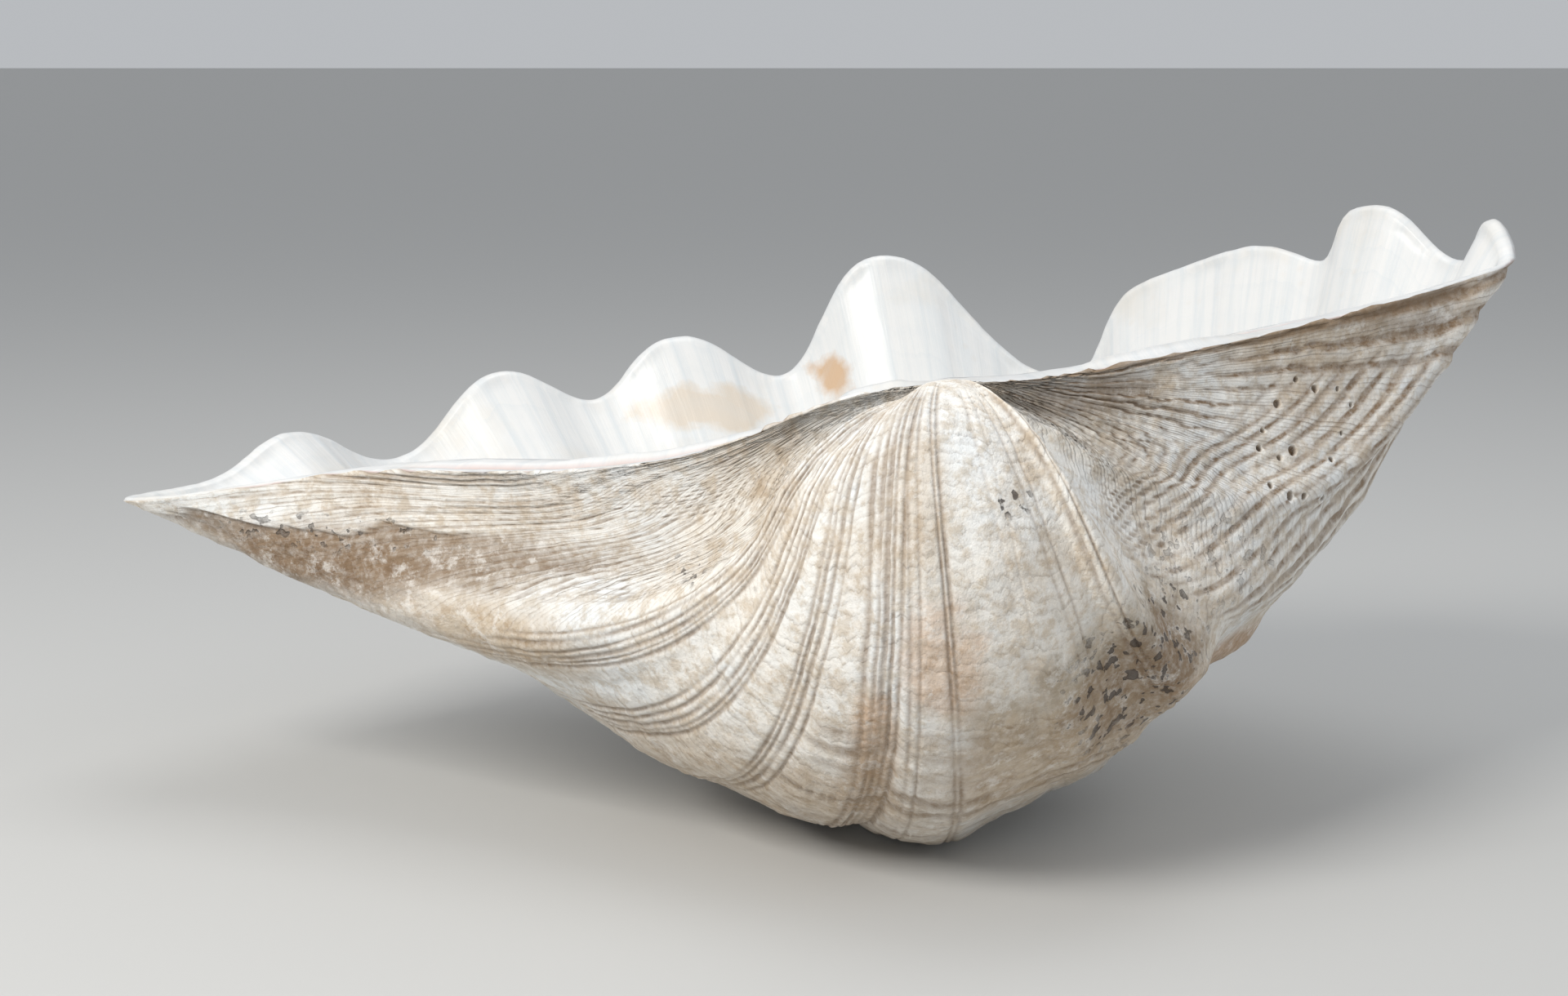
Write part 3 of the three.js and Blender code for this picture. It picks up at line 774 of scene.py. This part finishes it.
def makeBackMaterial(groups):
    f = backFinish
    material = bpy.data.materials.new("weatheredBack")
    material.use_nodes = True
    material.node_tree.nodes.clear()
    n = Nodes(material.node_tree)
    place = n.add("ShaderNodeTexCoord").outputs["Object"]
    growthMap = n.add("ShaderNodeUVMap", uv_map="growthMap").outputs["UV"]
    run, size, unused = n.apart(growthMap)
    groove = n.add("ShaderNodeAttribute", attribute_name="groove").outputs["Fac"]
    crestHighlight = n.add("ShaderNodeAttribute", attribute_name="crestHighlight").outputs["Fac"]
    broken = n.add("ShaderNodeAttribute", attribute_name="broken").outputs["Fac"]
    grain = useGroup(n, groups["grain"], {"Place": place, "Scale": f["grainScale"], "Pores": 0.25})
    fine = useGroup(n, groups["growthLines"], {"Map": growthMap, "Gap": f["lineGap"], "Wobble": 0.02,
                                               "Sharpness": 3.0})
    ragged = n.noise(place, f["raggedScale"], 7.0, 0.7)
    mottle = n.noise(place, f["mottleScale"], 5.0, 0.68)
    wide = n.noise(place, f["wideScale"], 5.0, 0.6)
    clouds = n.noise(place, f["cloudScale"], 6.0, 0.65)
    flakes = n.noise(place, f["flakeScale"], 7.0, 0.75)

    # chalky white to bluish, with clouds of tan and the stains over them
    colour = n.mix(n.scaled(wide, 0.42, 0.62), f["chalk"], f["cold"])
    colour = n.mix(n.math("MULTIPLY", n.scaled(clouds, 0.5, 0.68), 0.6), colour, f["tan"])
    colour = stained(n, groups, place, colour, f, ragged)
    # fine growth lines, which show most on the wings
    wings = n.math("MAXIMUM", n.scaled(run, 0.19, 0.26, 1.0, 0.0), n.scaled(run, 0.83, 0.88))
    lineStrength = n.scaled(wings, 0.0, 1.0, 0.3, 0.7)
    colour = n.mix(n.math("MULTIPLY", fine["Line"], lineStrength), colour, f["brown"])
    # bare brown where the outer layer is gone, a painted highlight whitening the crests, mottled all over
    colour = n.mix(n.math("MULTIPLY", broken, 0.75), colour, f["brown"])
    colour = n.mix(n.scaled(crestHighlight, 0.3, 0.9, 0.0, 0.6), colour, f["chalk"])
    colour = n.mix(n.scaled(mottle, 0.46, 0.6, 0.0, 0.6), colour, f["tan"], "MULTIPLY")
    colour = n.mix(n.scaled(flakes, 0.53, 0.63, 0.0, 0.5), colour, f["flake"])
    # painted shade, brown and uneven, in the grooves, at the foot of each step and inside the bore holes;
    # then speckle, pores and pits
    grooveShadeVaries = n.scaled(mottle, 0.4, 0.62, 1.0, 0.45)
    grooveShade = n.scaled(groove, 0.06, 0.5, 0.0, n.scaled(run, 0.20, 0.34, 1.0, 0.75))
    colour = n.mix(n.math("MULTIPLY", grooveShade, grooveShadeVaries), colour, f["brown"])
    colour = n.mix(n.scaled(grain["Speckle"], 0.45, 0.75, 0.0, 0.3), colour, f["speckle"])
    colour = n.mix(grain["Pores"], colour, f["dark"])
    pits = n.scaled(n.noise(place, f["pitScale"], 2.0, 0.5), 0.585, 0.63)
    pitted = 0.0
    for middle, stretch, strength in f["peppered"]:
        mask = useGroup(n, groups["spot"], {"Place": place, "Middle": middle, "Stretch": stretch,
                                            "Ragged": f["pepperRagged"], "Noise": ragged})["Mask"]
        pitted = n.math("MAXIMUM", pitted, n.math("MULTIPLY", mask, strength))
    pitted = n.math("MULTIPLY", pits, pitted)
    colour = n.mix(n.math("MULTIPLY", pitted, 0.85), colour, f["dark"])
    rightRim = n.math("MULTIPLY", n.scaled(run, 0.18, 0.22, 1.0, 0.0), n.scaled(size, 0.972, 0.985))
    colour = n.mix(n.math("MULTIPLY", rightRim, 0.75), colour, f["brown"])

    height = n.math("MULTIPLY", grain["Height"], 0.35)
    lineHeight = n.math("MULTIPLY", fine["Height"], lineStrength)
    height = n.math("ADD", height, n.math("MULTIPLY", lineHeight, 0.8))
    height = n.math("ADD", height, n.math("MULTIPLY", mottle, 0.8))
    height = n.math("SUBTRACT", height, n.math("MULTIPLY", pitted, 0.9))
    bump = n.add("ShaderNodeBump", {"Height": height, "Strength": f["bumpStrength"],
                                    "Distance": f["bumpDepth"]})
    spread = f["roughnessSpread"]
    shader = n.add("ShaderNodeBsdfPrincipled", {
        "Base Color": colour, "Normal": bump.outputs["Normal"],
        "Roughness": n.scaled(mottle, 0.3, 0.7, f["roughness"] - spread, f["roughness"] + spread)})
    output = n.add("ShaderNodeOutputMaterial")
    n.tree.links.new(shader.outputs["BSDF"], output.inputs["Surface"])
    return material


hollowFinish = {
    "white": (0.80, 0.80, 0.79, 1),
    "cold": (0.60, 0.66, 0.70, 1),
    "cream": (0.68, 0.62, 0.52, 1),
    "tan": (0.68, 0.55, 0.40, 1),
    "rust": (0.60, 0.34, 0.13, 1),
    "brown": (0.26, 0.16, 0.09, 1),
    "pink": (0.62, 0.42, 0.38, 1),
    "roughness": (0.28, 0.48),
    "coat": 0.15,
    "coatRoughness": 0.25,
    "lineGap": 0.02,
    "grainScale": 300.0,
    "raggedScale": 60.0,
    "wideScale": 26.0,
    "streaksAlong": 240.0,
    "streaksAcross": 5.0,
    "bumpStrength": 0.45,
    "bumpDepth": 0.0008,
    "spots": [((0.010, 0.1435, 0.118), (0.010, 0.012, 0.009), "rust", 0.75, 2.2),
              ((-0.036, 0.131, 0.107), (0.030, 0.016, 0.008), "tan", 0.6, 2.4),
              ((-0.03, 0.02, 0.04), (0.09, 0.08, 0.03), "cream", 0.5, 1.0),
              ((0.05, -0.06, 0.07), (0.05, 0.05, 0.03), "cream", 0.6, 1.0)],
}


def makeHollowMaterial(groups):
    f = hollowFinish
    material = bpy.data.materials.new("whiteHollow")
    material.use_nodes = True
    material.node_tree.nodes.clear()
    n = Nodes(material.node_tree)
    place = n.add("ShaderNodeTexCoord").outputs["Object"]
    growthMap = n.add("ShaderNodeUVMap", uv_map="growthMap").outputs["UV"]
    run, size, unused = n.apart(growthMap)
    grain = useGroup(n, groups["grain"], {"Place": place, "Scale": f["grainScale"], "Pores": 0.12})
    fine = useGroup(n, groups["growthLines"], {"Map": growthMap, "Gap": f["lineGap"], "Wobble": 0.03,
                                               "Sharpness": 2.0})
    ragged = n.noise(place, f["raggedScale"], 5.0, 0.6)
    streakPlace = n.place(n.math("MULTIPLY", run, f["streaksAlong"]),
                          n.math("MULTIPLY", size, f["streaksAcross"]))
    streaks = n.noise(streakPlace, 1.0, 4.0, 0.6)

    # porcelain white with bluish streaks down from the rim, creamy patches and stains
    colour = n.mix(n.scaled(streaks, 0.45, 0.7, 0.0, 0.55), f["white"], f["cold"])
    creamy = n.scaled(n.noise(place, f["wideScale"], 4.0), 0.52, 0.75, 0.0, 0.5)
    colour = n.mix(creamy, colour, f["cream"])
    colour = stained(n, groups, place, colour, f, ragged)
    # the muscle's scar, and the ligament's groove from pink to brown
    groove = n.add("ShaderNodeAttribute", attribute_name="groove").outputs["Fac"]
    scar = n.add("ShaderNodeAttribute", attribute_name="broken").outputs["Fac"]
    colour = n.mix(n.math("MULTIPLY", scar, 0.35), colour, f["cream"])
    colour = n.mix(n.scaled(groove, 0.05, 0.4, 0.0, 0.55), colour, f["pink"])
    colour = n.mix(n.scaled(groove, 0.4, 0.9, 0.0, 0.9), colour, f["brown"])
    nearRim = n.scaled(size, 0.6, 0.95)
    colour = n.mix(n.math("MULTIPLY", n.math("MULTIPLY", fine["Line"], nearRim), 0.2), colour, f["cold"])
    colour = n.mix(grain["Pores"], colour, f["tan"])

    height = n.math("ADD", n.math("MULTIPLY", streaks, 0.8), n.math("MULTIPLY", grain["Height"], 0.12))
    bump = n.add("ShaderNodeBump", {"Height": height, "Strength": f["bumpStrength"],
                                    "Distance": f["bumpDepth"]})
    shader = n.add("ShaderNodeBsdfPrincipled", {
        "Base Color": colour, "Normal": bump.outputs["Normal"],
        "Coat Weight": f["coat"], "Coat Roughness": f["coatRoughness"],
        "Roughness": n.scaled(ragged, 0.3, 0.7, *f["roughness"])})
    output = n.add("ShaderNodeOutputMaterial")
    n.tree.links.new(shader.outputs["BSDF"], output.inputs["Surface"])
    return material


studio = {
    "floorSize": 60,
    "floorColour": (0.56, 0.56, 0.55, 1),
    "floorRoughness": 0.9,
    "worldColour": (0.93, 0.96, 1.0, 1),
    "worldStrength": 0.52,
    # place, size, watts, colour, each aimed at the shell
    "lamps": [((-0.75, -0.85, 0.95), 0.6, 14.0, (1.0, 0.97, 0.92)),
              ((1.1, -0.2, 0.9), 0.9, 2.2, (0.92, 0.96, 1.0)),
              ((0.1, 0.3, 1.5), 0.9, 4.5, (1.0, 1.0, 1.0))],
    "cameraAt": (-0.0084, -0.9015, 0.2378),
    "aim": (-0.0084, -0.1115, 0.1127),
    "lens": 65.6,
    "sensorWidth": 36,
}


def aimed(thing, target):  # lamps and cameras look down their own -Z
    way = np.array(target) - np.array(thing.location)
    pitch = math.atan2(math.hypot(way[0], way[1]), -way[2])
    thing.rotation_euler = (pitch, 0, math.atan2(way[1], way[0]) - math.pi / 2)


def makeStudio():
    s = studio
    bpy.ops.mesh.primitive_plane_add(size=s["floorSize"], location=(0, 0, 0))
    floor = bpy.context.object
    floor.name = "floor"
    material = bpy.data.materials.new("paleFloor")
    material.use_nodes = True
    shader = material.node_tree.nodes["Principled BSDF"]
    shader.inputs["Base Color"].default_value = s["floorColour"]
    shader.inputs["Roughness"].default_value = s["floorRoughness"]
    floor.data.materials.append(material)
    world = bpy.data.worlds.new("studioSky")
    world.use_nodes = True
    sky = world.node_tree.nodes["Background"]
    sky.inputs["Color"].default_value = s["worldColour"]
    sky.inputs["Strength"].default_value = s["worldStrength"]
    bpy.context.scene.world = world
    for k, (place, size, watts, colour) in enumerate(s["lamps"]):
        light = bpy.data.lights.new(f"lamp{k + 1}", "AREA")
        light.size = size
        light.energy = watts
        light.color = colour
        lamp = bpy.data.objects.new(light.name, light)
        lamp.location = place
        aimed(lamp, s["aim"])
        bpy.context.scene.collection.objects.link(lamp)
    view = bpy.data.cameras.new("camera")
    view.lens = s["lens"]
    view.sensor_width = s["sensorWidth"]
    camera = bpy.data.objects.new("camera", view)
    camera.location = s["cameraAt"]
    aimed(camera, s["aim"])
    bpy.context.scene.collection.objects.link(camera)
    bpy.context.scene.camera = camera
    bpy.context.scene.view_settings.view_transform = "Standard"


def addFinishes():
    groups = {"grain": makeGrain(), "growthLines": makeGrowthLines(), "spot": makeSpot()}
    return [makeBackMaterial(groups), makeHollowMaterial(groups)]


shell = weatherShell(growShell())
print("shell grown and weathered:", len(shell["faces"]), "triangles")
finishes = addFinishes()
piece = meshFromShell(shell, finishes)
before = len(piece.data.polygons)
drillHoles(piece, boreSpots(shell), finishes[0])
print("bore holes cut:", before, "faces became", len(piece.data.polygons))
print("shell finished")
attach(piece, "root")
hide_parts("shell_valve")
makeStudio()
print("studio set")
